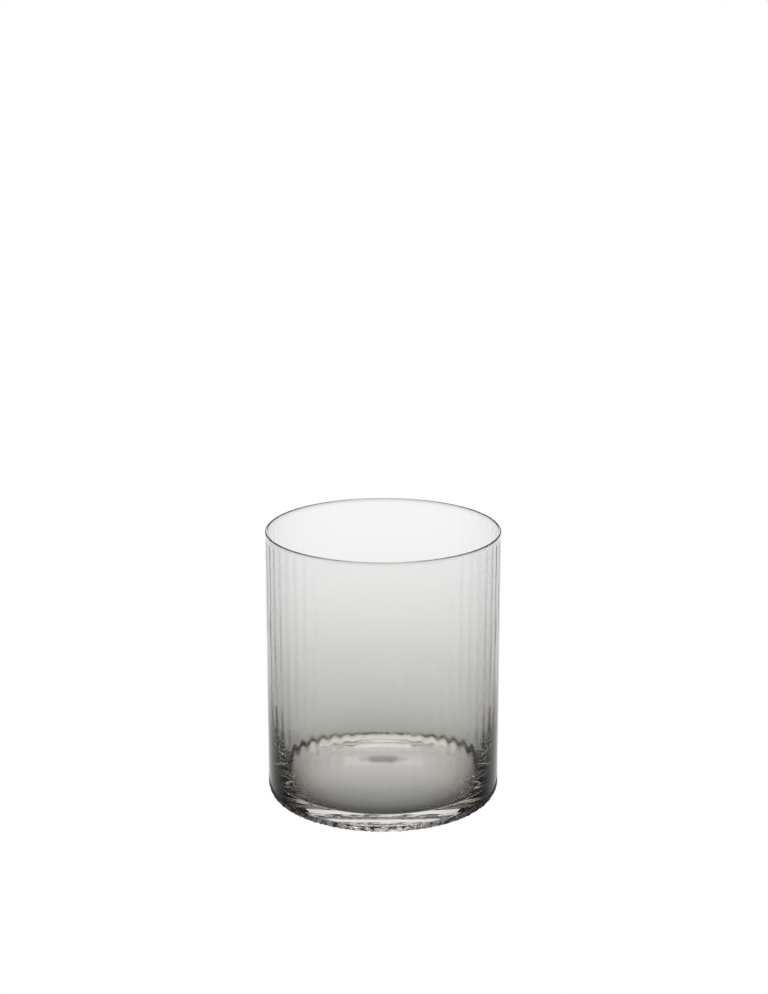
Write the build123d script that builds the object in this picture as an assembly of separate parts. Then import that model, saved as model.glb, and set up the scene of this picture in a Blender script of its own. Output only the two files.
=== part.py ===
"""A whisky tumbler of cased optic glass: a smoke-grey liner, ribbed inside, fused into a clear casing.

+Z is up and the tumbler stands on Z = 0, with its axis on the Z axis. All sizes are in millimetres.
The grey gather is blown first in a ribbed optic mould, and takes its ribs on the inside. Clear glass is
gathered over it and blown in a smooth mould, which leaves a plain outside and a thick clear foot.
"""
import os
from math import asin, cos, degrees, radians, sin

from build123d import *

# Driving dimensions of the whole glass
outer_radius = 40.0
height = 94.0
lip_thickness = 0.9     # a full round
wall = 1.6              # outside to the crest of a rib, where the swell starts; it thins from there to the lip
heel_height = 3.0       # stippled, rounded edge between wall and foot
heel_inset = 1.4        # how far the heel draws the foot in

# The well, where the drink goes
floor_height = 5.2      # table to the floor's edge
floor_crown = 0.6       # how far the floor's middle stands above its edge
corner_radius = 2.5     # between floor and swell
swell_top = 38.0        # below here the wall thickens towards the floor
swell_radius = 180.0    # of the long curve that thickens it

# Optic ribs on the inside of the wall
rib_count = 56
flute_depth = 0.10      # from the crest of a rib to the bottom of the flute beside it
rib_land = 0.04         # how much of the crest the wave would cut away, which leaves a narrow land
flute_fade = 10.0       # height over which the flutes deepen from nothing above the swell
lip_fade = 2.0          # height over which they fade out again under the lip

# The foot, under the well
foot_ring_width = 7.0   # flat ring that the glass stands on
punt_depth = 1.9        # the hollow inside that ring, at the axis

# The two fused layers
casing_wall = 0.7       # clear glass outside the liner, along the wall
liner_floor = 1.3       # grey glass under the floor's edge
liner_corner = 3.5      # corner radius of the fused surface

bore_radius = outer_radius - wall
lip = lip_thickness / 2
above = 5.0             # how far a cutter passes the lip

# Where the swell's curve meets the corner's curve, smoothly
swell_angle = degrees(asin((swell_top - floor_height - corner_radius) / (swell_radius - corner_radius)))
flat_floor = bore_radius - swell_radius + (swell_radius - corner_radius) * cos(radians(swell_angle))


def turned(outline):
    """The solid of revolution of a closed outline of edges drawn in the XZ plane, right of the Z axis."""
    return revolve(make_face(outline), axis=Axis.Z)


def along(*points):
    """Straight edges in the XZ plane through points given as radius and height."""
    corners = [(radius, 0, level) for radius, level in points]
    return [Line(start, end) for start, end in zip(corners, corners[1:])]


def bend(centre_radius, centre_height, radius, start, end):
    """An arc in the XZ plane. Angles are in degrees from straight out, turning upwards."""
    def at(angle):
        turn = radians(angle)
        return (centre_radius + radius * cos(turn), 0, centre_height + radius * sin(turn))

    return ThreePointArc(at(start), at((start + end) / 2), at(end))


def crowned(radius, edge_height, crown):
    """An arc from the axis to a radius, in the XZ plane, higher at the axis by the crown."""
    at_half = edge_height + crown * 0.75
    return ThreePointArc((0, 0, edge_height + crown), (radius / 2, 0, at_half), (radius, 0, edge_height))


def plain_glass():
    """The whole tumbler, without ribs: foot, wall, lip and well, as one turned outline."""
    foot_radius = outer_radius - heel_inset
    ring_inner = foot_radius - foot_ring_width
    heel_radius = (heel_inset ** 2 + heel_height ** 2) / (2 * heel_inset)
    heel_angle = degrees(asin(heel_height / heel_radius))
    outside = [
        crowned(ring_inner, 0, punt_depth),
        *along((ring_inner, 0), (foot_radius, 0)),
        bend(outer_radius - heel_radius, heel_height, heel_radius, -heel_angle, 0),
        *along((outer_radius, heel_height), (outer_radius, height - lip)),
        bend(outer_radius - lip, height - lip, lip, 0, 180),
    ]
    well = [
        *along((outer_radius - lip_thickness, height - lip), (bore_radius, swell_top)),
        bend(bore_radius - swell_radius, swell_top, swell_radius, 0, -swell_angle),
        bend(flat_floor, floor_height + corner_radius, corner_radius, -swell_angle, -90),
        crowned(flat_floor, floor_height, floor_crown),
    ]
    axis = along((0, punt_depth), (0, floor_height + floor_crown))
    return turned([*outside, *well, *axis])


def liner_core():
    """All that lies inside the fused surface, which runs out at the crest of the lip, and on up past it."""
    radius = outer_radius - casing_wall
    crest = outer_radius - lip
    floor = floor_height - liner_floor
    top = height + above
    return turned([
        *along((0, floor), (radius - liner_corner, floor)),
        bend(radius - liner_corner, floor + liner_corner, liner_corner, -90, 0),
        *along((radius, floor + liner_corner), (radius, swell_top)),
        *along((radius, swell_top), (crest, height), (crest, top), (0, top), (0, floor)),
    ])


def wave_section(bore, level):
    """One closed wave round the axis: an arc out for each flute and an arc back for each rib between."""
    valley = bore + flute_depth
    crest = bore - rib_land
    between = (valley + crest) / 2
    quarter = 360 / rib_count / 4

    def at(radius, quarters):
        turn = radians(quarters * quarter)
        return (radius * cos(turn), radius * sin(turn), level)

    arcs = []
    for rib in range(rib_count):
        start = 4 * rib
        arcs.append(ThreePointArc(at(between, start), at(valley, start + 1), at(between, start + 2)))
        arcs.append(ThreePointArc(at(between, start + 2), at(crest, start + 3), at(between, start + 4)))
    return make_face(arcs)


def flutes():
    """The cutter for the flutes, which follow the thinning wall and die out at the swell and at the lip."""
    top = height - lip
    top_bore = outer_radius - lip_thickness
    full = swell_top + flute_fade
    ending = top - lip_fade

    def valley(level):
        thinned = (wall - lip_thickness) * (level - swell_top) / (top - swell_top)
        return bore_radius + thinned + flute_depth

    wave = loft([wave_section(bore_radius, swell_top), wave_section(top_bore, top)], ruled=True)
    limit = turned(along(
        (0, swell_top),
        (bore_radius, swell_top),
        (valley(full), full),
        (valley(ending), ending),
        (top_bore, top),
        (0, top),
        (0, swell_top),
    ))
    return wave & limit


def clear_casing(glass, core):
    """The clear outer gather: a thin skin up the wall, and the whole of the foot."""
    return glass - core


def smoke_liner(glass, core):
    """The grey inner gather, which holds the drink and carries the ribs."""
    return (glass & core) - flutes()


def main():
    os.makedirs("parts", exist_ok=True)
    glass = plain_glass()
    core = liner_core()
    export_step(clear_casing(glass, core), "parts/clear_casing.step")
    export_step(smoke_liner(glass, core), "parts/smoke_liner.step")


main()
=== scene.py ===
from math import asin, cos, degrees, hypot, pi, radians, sin

import bpy
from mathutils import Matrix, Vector, noise


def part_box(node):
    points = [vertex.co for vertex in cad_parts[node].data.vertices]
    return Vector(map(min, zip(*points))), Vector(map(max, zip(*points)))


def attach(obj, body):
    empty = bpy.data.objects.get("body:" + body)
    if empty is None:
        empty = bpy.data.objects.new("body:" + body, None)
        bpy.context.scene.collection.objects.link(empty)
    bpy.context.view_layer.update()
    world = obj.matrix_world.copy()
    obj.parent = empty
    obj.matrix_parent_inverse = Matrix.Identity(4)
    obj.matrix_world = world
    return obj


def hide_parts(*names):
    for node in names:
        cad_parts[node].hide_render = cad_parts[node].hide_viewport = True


# A whiskey tumbler of cased glass on a white table, lit from behind. Sizes are in metres.
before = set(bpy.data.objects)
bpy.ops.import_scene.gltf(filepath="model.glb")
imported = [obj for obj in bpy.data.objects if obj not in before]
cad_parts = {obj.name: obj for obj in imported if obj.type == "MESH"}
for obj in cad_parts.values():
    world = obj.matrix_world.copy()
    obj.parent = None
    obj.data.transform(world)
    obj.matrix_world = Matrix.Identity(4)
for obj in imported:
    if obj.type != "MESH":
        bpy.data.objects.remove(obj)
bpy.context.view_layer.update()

# --- Smoke liner -----------------------------------------------------------------------------------------
# The inner gather of smoke-grey soda-lime glass, which holds the drink. It is blown in an optic mould that
# leaves upright ribs on its inside, and it is fused all over into the clear casing round it and under it.

mm = 0.001
liner_low, liner_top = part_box("smoke_liner")
_, casing_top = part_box("clear_casing")
outer_radius = casing_top.x
rim = casing_top.z
lip_half = outer_radius - liner_top.x
wall = 1.6 * mm
casing_wall = 0.7 * mm
bore = outer_radius - wall              # crests of the ribs, where the wall starts to swell
floor_edge = 5.2 * mm
floor_crown = 0.6 * mm
corner = 2.5 * mm
swell_top = 38.0 * mm
swell_radius = 180.0 * mm
fused_radius = outer_radius - casing_wall
fused_floor = liner_low.z
fused_corner = 3.5 * mm
rib_count = 56
steps_per_rib = 12
flute_depth = 0.10 * mm
flutes_end = 14.0 * mm
flutes_full = 40.0 * mm
guard = 0.15 * mm

swell_angle = asin((swell_top - floor_edge - corner) / (swell_radius - corner))
flat_floor = bore - swell_radius + (swell_radius - corner) * cos(swell_angle)


def arc(centre_r, centre_z, radius, start, end, steps):
    """Outline points on an arc. Angles are in degrees from straight out, turning upwards."""
    points = []
    for step in range(steps + 1):
        angle = radians(start + (end - start) * step / steps)
        points.append((centre_r + radius * cos(angle), centre_z + radius * sin(angle)))
    return points


def run(start, end, steps):
    """Outline points on a straight run, without its first point.

    A ring close to each end keeps the shading of the bends beside it off the straight stretch.
    """
    length = hypot(end[0] - start[0], end[1] - start[1])
    close = min(guard / length, 0.25 / steps)
    shares = [close] + [step / steps for step in range(1, steps)] + [1 - close, 1]
    return [
        (start[0] + (end[0] - start[0]) * share, start[1] + (end[1] - start[1]) * share)
        for share in shares
    ]


def domed(radius, edge_height, rise, steps):
    """Outline points of a gently domed disc, from its middle to its edge."""
    return [
        (radius * step / steps, edge_height + rise * (1 - (step / steps) ** 2))
        for step in range(steps + 1)
    ]


def turned_shell(name, under, over, shape, fused):
    """A closed mesh turned from two outlines: under runs from the axis up to the lip, over back down to it.

    fused is 0 if the first outline is the fused surface and 1 if the second one is. The other outline is
    the open surface, where shape(radius, height, angle) moves each point.
    """
    outline = under + over
    around = rib_count * steps_per_rib
    vertices = []
    for place, (radius, height) in enumerate(outline[1:-1], 1):
        is_fused = (place >= len(under)) == (fused == 1)
        for step in range(around):
            angle = 2 * pi * step / around
            r, z = (radius, height) if is_fused else shape(radius, height, angle)
            vertices.append((r * cos(angle), r * sin(angle), z))
    axis = len(vertices)
    vertices += [(0, 0, outline[0][1]), (0, 0, outline[-1][1])]
    faces = []
    materials = []
    last = len(outline) - 3
    for step in range(around):
        after = (step + 1) % around
        faces.append((axis, after, step))
        materials.append(int(fused == 0))
        for ring in range(last):
            low = ring * around
            high = low + around
            faces.append((low + step, low + after, high + after, high + step))
            materials.append(int((ring + 2 >= len(under)) == (fused == 1)))
        top = last * around
        faces.append((top + step, top + after, axis + 1))
        materials.append(int(fused == 1))
    mesh = bpy.data.meshes.new(name)
    mesh.from_pydata(vertices, [], faces)
    mesh.polygons.foreach_set("material_index", materials)
    mesh.polygons.foreach_set("use_smooth", [True] * len(faces))
    mesh.update()
    normals = [tuple(vertex.vector) for vertex in mesh.vertex_normals]
    crest = (len(under) - 2) * around
    normals[crest:crest + around] = [(0, 0, 1)] * around
    mesh.normals_split_custom_set_from_vertices(normals)
    piece = bpy.data.objects.new(name, mesh)
    bpy.context.collection.objects.link(piece)
    return piece


def eased(share):
    """A soft step from 0 to 1."""
    share = min(1.0, max(0.0, share))
    return share * share * (3 - 2 * share)


def ribbed(radius, height, angle):
    """Hollows the inside into flutes, which die out above the corner of the floor and under the lip."""
    hollow = flute_depth * (0.5 + 0.5 * cos(rib_count * angle))
    hollow *= eased((height - flutes_end) / (flutes_full - flutes_end))
    hollow *= eased((rim - 2 * lip_half - height) / (3 * lip_half))
    return radius + hollow, height


def fused_outline():
    """The fused surface of the liner and the casing, from the axis out and up to the crest of the lip."""
    up = [(0, fused_floor)]
    up += run(up[-1], (fused_radius - fused_corner, fused_floor), steps=2)
    up += arc(fused_radius - fused_corner, fused_floor + fused_corner, fused_corner, -90, 0, steps=10)[1:]
    up += run(up[-1], (fused_radius, swell_top), steps=2)
    up += run(up[-1], (outer_radius - lip_half, rim), steps=6)
    return up


def well_outline():
    """The inside from the middle of the floor up to the crest of the lip."""
    up = domed(flat_floor, floor_edge, floor_crown, steps=20)
    up += arc(flat_floor, floor_edge + corner, corner, -90, -degrees(swell_angle), steps=14)[1:]
    up += arc(bore - swell_radius, swell_top, swell_radius, -degrees(swell_angle), 0, steps=40)[1:]
    near_lip = (outer_radius - 2 * lip_half, rim - 6 * lip_half)
    up += run(up[-1], near_lip, steps=8)
    up += run(up[-1], (outer_radius - 2 * lip_half, rim - lip_half), steps=8)
    up += arc(outer_radius - lip_half, rim - lip_half, lip_half, 180, 90, steps=10)[1:]
    return up


liner = turned_shell("smoke_liner_glass", fused_outline(), well_outline()[-2::-1], ribbed, fused=0)


def new_material(name):
    """A node material with its tree and its shader."""
    material = bpy.data.materials.new(name)
    material.use_nodes = True
    tree = material.node_tree
    return material, tree, tree.nodes["Principled BSDF"]


def glass(name):
    """Polished soda-lime glass, ready for its colour."""
    material, tree, shader = new_material(name)
    shader.inputs["Roughness"].default_value = 0.0
    shader.inputs["IOR"].default_value = 1.5
    shader.inputs["Transmission Weight"].default_value = 1.0
    return material, tree, shader


def maths(tree, operation, first, second=0):
    """A maths node on two values, each a socket or a number."""
    node = tree.nodes.new("ShaderNodeMath")
    node.operation = operation
    for socket, value in zip(node.inputs, (first, second)):
        if isinstance(value, (int, float)):
            socket.default_value = value
        else:
            tree.links.new(value, socket)
    return node.outputs[0]


def squares(tree, first, second):
    """The sum of two squares."""
    return maths(tree, "ADD", maths(tree, "MULTIPLY", first, first), maths(tree, "MULTIPLY", second, second))


def place_of(tree):
    """Where each point of a surface is, as a vector and as its x, y and z."""
    place = tree.nodes.new("ShaderNodeNewGeometry").outputs["Position"]
    split = tree.nodes.new("ShaderNodeSeparateXYZ")
    tree.links.new(place, split.inputs[0])
    return place, *split.outputs


def dying_out(tree, distance, reach):
    """A share that dies out with distance, from 1 at none."""
    return maths(tree, "EXPONENT", maths(tree, "MULTIPLY", maths(tree, "DIVIDE", distance, reach), -1))


def tint_group():
    """The tint of glass that holds more of its colour towards the foot.

    The wall part grows slowly from the rim down, and the foot part dies out upwards within its reach. Their
    sum is scaled by the share, and the rest is added. At a depth of 0 the glass is clear, and at 1 it has
    all its colour, as light fades on its way through coloured glass.
    """
    group = bpy.data.node_groups.new("glass_tint", "ShaderNodeTree")
    group.interface.new_socket("colour", in_out="INPUT", socket_type="NodeSocketColor")
    for label in ("height", "wall", "foot", "reach", "share", "rest"):
        group.interface.new_socket(label, in_out="INPUT", socket_type="NodeSocketFloat")
    group.interface.new_socket("tint", in_out="OUTPUT", socket_type="NodeSocketColor")
    given = group.nodes.new("NodeGroupInput").outputs
    from_rim = maths(group, "SUBTRACT", 1, maths(group, "DIVIDE", given["height"], rim))
    in_wall = maths(group, "MULTIPLY", maths(group, "POWER", from_rim, wall_fade), given["wall"])
    at_foot = dying_out(group, given["height"], given["reach"])
    in_foot = maths(group, "MULTIPLY", at_foot, given["foot"])
    depth = maths(group, "MULTIPLY", maths(group, "ADD", in_wall, in_foot), given["share"])
    fading = group.nodes.new("ShaderNodeGamma")
    group.links.new(given["colour"], fading.inputs["Color"])
    group.links.new(maths(group, "ADD", depth, given["rest"]), fading.inputs["Gamma"])
    group.links.new(fading.outputs["Color"], group.nodes.new("NodeGroupOutput").inputs["tint"])
    return group


wall_fade = 1.92
glass_tint = tint_group()


def tinted(tree, **depths):
    """Places the tint in a material, with its own colour and depths, each a value or a socket."""
    tint = tree.nodes.new("ShaderNodeGroup")
    tint.node_tree = glass_tint
    for label, value in depths.items():
        if isinstance(value, bpy.types.NodeSocket):
            tree.links.new(value, tint.inputs[label])
        else:
            tint.inputs[label].default_value = value
    return tint.outputs["tint"]


# The grey is deepest round the edge of the floor. It thins out up the wall and towards the middle of the
# floor, and it shows again along the lip. On the wall it is a little deeper where the ribs are thickest.
full_grey = (0.138, 0.135, 0.114, 1)
wall_grey = 0.58
edge_grey = 1.0
edge_reach = 6.0 * mm
middle_share = 0.10
lip_grey = 0.7
lip_reach = 0.5 * mm
rib_grey = 0.08
grey_glass, tree, shader = glass("grey_glass")
_, x, y, z = place_of(tree)
out_share = maths(tree, "MINIMUM", maths(tree, "DIVIDE", squares(tree, x, y), bore ** 2), 1)
outwards = maths(tree, "POWER", out_share, 2)
over_floor = maths(tree, "ADD", maths(tree, "MULTIPLY", outwards, 1 - middle_share), middle_share)
rib_wave = maths(tree, "COSINE", maths(tree, "MULTIPLY", maths(tree, "ARCTAN2", y, x), rib_count))
up_ribs = maths(tree, "MULTIPLY", maths(tree, "DIVIDE", z, rim), -rib_grey)
in_ribs = maths(tree, "ADD", maths(tree, "MULTIPLY", rib_wave, up_ribs), 1)
near_lip = dying_out(tree, maths(tree, "SUBTRACT", rim, z), lip_reach)
grey_tint = tinted(
    tree,
    colour=full_grey,
    height=z,
    wall=wall_grey,
    foot=edge_grey,
    reach=edge_reach,
    share=maths(tree, "MULTIPLY", over_floor, in_ribs),
    rest=maths(tree, "MULTIPLY", near_lip, lip_grey),
)
tree.links.new(grey_tint, shader.inputs["Base Color"])

# The fused surface inside the glass. Both gathers bend light alike, so nothing shows there.
fused_joint, _, shader = new_material("fused_joint")
shader.inputs["Alpha"].default_value = 0.0

liner.data.materials.append(grey_glass)
liner.data.materials.append(fused_joint)
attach(liner, "root")
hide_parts("smoke_liner")

# --- Clear casing ----------------------------------------------------------------------------------------
# The outer gather of clear soda-lime glass, blown in a smooth mould over the liner. It makes the plain
# outside and the thick foot, which is hollowed in the middle and has a stippled heel that hides scratches.

heel_height = 3.0 * mm
heel_inset = 1.4 * mm
ring_width = 7.0 * mm
punt = 1.9 * mm
stipple_size = 0.9 * mm
stipple_depth = 0.45 * mm
stipple_fade = 0.5 * mm
pit_level = 0.5
coarse_pits = 0.8
fine_pits = 0.4
fine_scale = 2.1

foot_radius = outer_radius - heel_inset
ring_inner = foot_radius - ring_width
heel_radius = (heel_inset ** 2 + heel_height ** 2) / (2 * heel_inset)
heel_angle = asin(heel_height / heel_radius)


def stippled(radius, height, angle):
    """Sinks small irregular pits into the heel."""
    if height > heel_height or radius < foot_radius - stipple_fade:
        return radius, height
    spot = Vector((radius * cos(angle), radius * sin(angle), height)) / stipple_size
    pit = pit_level + coarse_pits * noise.noise(spot) + fine_pits * noise.noise(spot * fine_scale)
    sink = max(0.0, pit) * stipple_depth
    sink *= eased((heel_height - height) / stipple_fade)
    sink *= eased((radius - foot_radius) / stipple_fade + 1)
    lean = heel_angle * (1 - height / heel_height)
    return radius - sink * cos(lean), height + sink * sin(lean)


def casing_outline():
    """The outside from the middle of the base up to the crest of the lip."""
    up = domed(ring_inner, 0, punt, steps=20)
    up += run(up[-1], (foot_radius, 0), steps=8)
    up += arc(outer_radius - heel_radius, heel_height, heel_radius, -degrees(heel_angle), 0, steps=14)[1:]
    up += run(up[-1], (outer_radius, rim - lip_half), steps=4)
    up += arc(outer_radius - lip_half, rim - lip_half, lip_half, 0, 90, steps=10)[1:]
    return up


casing = turned_shell("clear_casing_glass", casing_outline(), fused_outline()[-2::-1], stippled, fused=1)


def stepped(tree, share, *stops):
    """A grey that follows a share of 0 to 1 through stops, each a share and its grey."""
    ramp = tree.nodes.new("ShaderNodeValToRGB")
    for _ in stops[2:]:
        ramp.color_ramp.elements.new(0.5)
    for element, (at, grey) in zip(ramp.color_ramp.elements, stops):
        element.position = at
        element.color = (grey, grey, grey, 1)
    tree.links.new(share, ramp.inputs["Fac"])
    return ramp.outputs["Color"]


# Light that comes in at a slant has a long way to go through the grey behind, and leaves it darker and
# browner.
# Within a few millimetres of the foot this slant darkening is far deeper, and there it is partly painted
# shade on the lower sides. Each pit of the stipple gathers light or loses it, and the heel's colour is also
# painted with specks of shade, near black and half dark; the heel is a little rough.
brown_grey = (0.15, 0.128, 0.102, 1)
clear_depth = 0.008
side_grey = 1.6
# The deep darkening near the foot is partly painted shade on the lower sides.
low_side_painted_shade = 45
painted_shade_reach = 9 * mm
side_narrowness = 4
speck_size = 2.4 * mm
speck_low = 0.40
speck_high = 0.62
# The greys of the painted shade specks on the heel, near black and half dark.
speck_shade_dark = 0.01
speck_shade_light = 0.5
heel_roughness = 0.15
colourless_glass, tree, shader = glass("colourless_glass")
place, x, y, z = place_of(tree)
low = maths(tree, "LESS_THAN", z, heel_height - stipple_fade / 2)
outside = maths(tree, "GREATER_THAN", squares(tree, x, y), (foot_radius - stipple_fade) ** 2)
on_heel = maths(tree, "MULTIPLY", low, outside)
slant = tree.nodes.new("ShaderNodeLayerWeight")
# Darker and browner at a slant; near the foot this is deep painted shade as well as the grey's tint.
slant_tint_and_shade = tinted(
    tree,
    colour=brown_grey,
    height=z,
    wall=side_grey,
    foot=low_side_painted_shade,
    reach=painted_shade_reach,
    share=maths(tree, "POWER", slant.outputs["Facing"], side_narrowness),
    rest=clear_depth,
)
# Painted shade in specks over the heel, set into its colour, standing in for light the pits lose.
specks = tree.nodes.new("ShaderNodeTexNoise")
specks.inputs["Scale"].default_value = 1 / speck_size
specks.inputs["Detail"].default_value = 1.0
tree.links.new(place, specks.inputs["Vector"])
mix = tree.nodes.new("ShaderNodeMix")
mix.data_type = "RGBA"
tree.links.new(slant_tint_and_shade, mix.inputs["A"])
painted_speck_shade = stepped(tree, specks.outputs["Fac"], (speck_low, speck_shade_dark), (speck_high, speck_shade_light))
tree.links.new(painted_speck_shade, mix.inputs["B"])
tree.links.new(on_heel, mix.inputs["Factor"])
tree.links.new(mix.outputs["Result"], shader.inputs["Base Color"])
tree.links.new(maths(tree, "MULTIPLY", on_heel, heel_roughness), shader.inputs["Roughness"])

casing.data.materials.append(colourless_glass)
casing.data.materials.append(fused_joint)
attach(casing, "root")
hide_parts("clear_casing")

# --- Table -----------------------------------------------------------------------------------------------
# A plain white table top that the glass stands on. It gives an even light, as a lit sweep of paper does in
# a studio. The light that the glass bends comes from the round under it and from the tent.

table_reach = 20.0          # from the middle to each corner


def glowing(name):
    """A plain surface that gives light and takes none from anything else."""
    material, tree, shader = new_material(name)
    shader.inputs["Base Color"].default_value = (0, 0, 0, 1)
    shader.inputs["Specular IOR Level"].default_value = 0
    shader.inputs["Emission Color"].default_value = (1, 1, 1, 1)
    shader.inputs["Emission Strength"].default_value = 1
    return material, tree, shader


def flat_sheet(name, radius, sides, height, material):
    """A level sheet with equal sides, and its corners at the radius."""
    angles = [2 * pi * side / sides for side in range(sides)]
    mesh = bpy.data.meshes.new(name)
    mesh.from_pydata([(radius * cos(a), radius * sin(a), height) for a in angles], [], [list(range(sides))])
    mesh.materials.append(material)
    sheet = bpy.data.objects.new(name, mesh)
    bpy.context.collection.objects.link(sheet)
    return sheet


table_white, _, _ = glowing("table_white")
table = flat_sheet("table", table_reach, sides=4, height=0, material=table_white)
table.visible_transmission = False
table.visible_glossy = False

# The round of table under the glass, which is only seen through it. It is brightest at the back, falls into
# the shade of the foot at the front and the sides, and has one soft oval shadow behind the middle.
hidden_radius = 1.1 * outer_radius
hidden_depth = 0.2 * mm
shade_centre = 0.2 * outer_radius
shade_radius = 1.25 * outer_radius
middle_light = 0.9
light_slope = 0.5 / outer_radius
shade_stops = ((0.56, 1.0), (0.66, 0.9), (0.76, 0.35), (0.84, 0.18))    # shares of its radius, and the light
shadow_centre = 13.5 * mm
shadow_width = 7.0 * mm
shadow_length = 3.5 * mm
shadow_strength = 0.75
shadow_fade = 0.7
table_shade, tree, shader = glowing("table_shade")
_, x, y, _ = place_of(tree)
from_centre = maths(tree, "SQRT", squares(tree, x, maths(tree, "SUBTRACT", y, shade_centre)))
share = maths(tree, "DIVIDE", from_centre, shade_radius)
tree.links.new(stepped(tree, share, *shade_stops), shader.inputs["Emission Color"])
across = maths(tree, "DIVIDE", x, shadow_width)
along = maths(tree, "DIVIDE", maths(tree, "SUBTRACT", y, shadow_centre), shadow_length)
from_shadow = maths(tree, "POWER", squares(tree, across, along), 2)
shadow = maths(tree, "EXPONENT", maths(tree, "MULTIPLY", from_shadow, -shadow_fade))
unshaded = maths(tree, "SUBTRACT", 1, maths(tree, "MULTIPLY", shadow, shadow_strength))
sloped = maths(tree, "ADD", maths(tree, "MULTIPLY", y, light_slope), middle_light)
tree.links.new(maths(tree, "MULTIPLY", sloped, unshaded), shader.inputs["Emission Strength"])
hidden = flat_sheet("shaded_table", hidden_radius, sides=90, height=-hidden_depth, material=table_shade)
hidden.visible_camera = False

# --- Camera ----------------------------------------------------------------------------------------------
# A fairly long lens, two thirds of a metre away and well above the rim. It is tilted down, but aims over
# the glass, which so stands in the lower half of the view.

camera_aside = 0.0003
camera_away = 0.635
camera_height = 0.276
tilt = 15.07                # degrees
camera_data = bpy.data.cameras.new("camera")
camera_data.sensor_width = 36
camera_data.lens = 70.6
camera = bpy.data.objects.new("camera", camera_data)
camera.location = (camera_aside, -camera_away, camera_height)
camera.rotation_euler = (radians(90 - tilt), 0, 0)
bpy.context.collection.objects.link(camera)
bpy.context.scene.camera = camera
bpy.context.view_layer.update()

# --- Light tent ------------------------------------------------------------------------------------------
# The studio round the glass, as a round tent of cloth: a lit sweep and a strip light behind the glass, black
# flags at the sides and a soft box overhead. It is fixed to the camera, so that the glass is lit from behind
# whichever side is looked at.

tent_radius = 4.0
cell = 2                    # degrees, like the angles below
sweep_dark = 80             # degrees to the side of straight behind
foot_dark = 30
foot_top = -30
window_half = 24
strip_half = 10
strip_low = 5
strip_high = 18
flag_top = 30
box_low = 72
strip_light = 3.0
beside_strip_light = 0.3
above_strip_light = 0.85
box_light = 2.0
dim_light = 0.25
side_light = 0.06
flag_light = 0.02
warm = (1.0, 0.955, 0.925)
neutral = (1.0, 1.0, 1.0)


def tent_light(side, up):
    """How bright the tent is in a direction, in degrees to the side of straight behind and above level."""
    side = abs(side)
    if up < 0:
        return 1 - (1 - side_light) * eased(side / (sweep_dark if up > foot_top else foot_dark))
    if up > box_low:
        return box_light
    if up > flag_top:
        return dim_light
    if side > window_half:
        return flag_light
    if up < strip_low:
        return 1.0
    if up > strip_high:
        return above_strip_light
    return strip_light if side < strip_half else beside_strip_light


sideways = range(-180, 181, cell)
upwards = range(-90, 91, cell)
vertices = []
for up in upwards:
    for side in sideways:
        out = tent_radius * cos(radians(up))
        vertices.append((out * sin(radians(side)), out * cos(radians(side)), tent_radius * sin(radians(up))))
faces = []
lights = []
for row, up in enumerate(upwards[:-1]):
    for column, side in enumerate(sideways[:-1]):
        low = row * len(sideways) + column
        high = low + len(sideways)
        faces.append((low, low + 1, high + 1, high))
        strength = tent_light(side + cell / 2, up + cell / 2)
        lights += [strength * channel for channel in (neutral if up < 0 else warm)] + [1]
mesh = bpy.data.meshes.new("light_tent")
mesh.from_pydata(vertices, [], faces)
mesh.attributes.new("light", "FLOAT_COLOR", "FACE").data.foreach_set("color", lights)
tent_cloth, tree, shader = glowing("tent_cloth")
light = tree.nodes.new("ShaderNodeAttribute")
light.attribute_name = "light"
tree.links.new(light.outputs["Color"], shader.inputs["Emission Color"])
mesh.materials.append(tent_cloth)
tent = bpy.data.objects.new("light_tent", mesh)
bpy.context.collection.objects.link(tent)
tent.visible_camera = False
tent.parent = camera
tent.matrix_parent_inverse = camera.matrix_world.inverted()

# The room beyond the table is plain white. Light is followed through every wall of the glass.
world = bpy.data.worlds.new("studio")
bpy.context.scene.world = world
world.use_nodes = True
world.node_tree.nodes["Background"].inputs["Color"].default_value = (1, 1, 1, 1)

scene = bpy.context.scene
scene.view_settings.view_transform = "Standard"
scene.cycles.max_bounces = 40
scene.cycles.transmission_bounces = 40
scene.cycles.glossy_bounces = 20
scene.cycles.transparent_max_bounces = 64
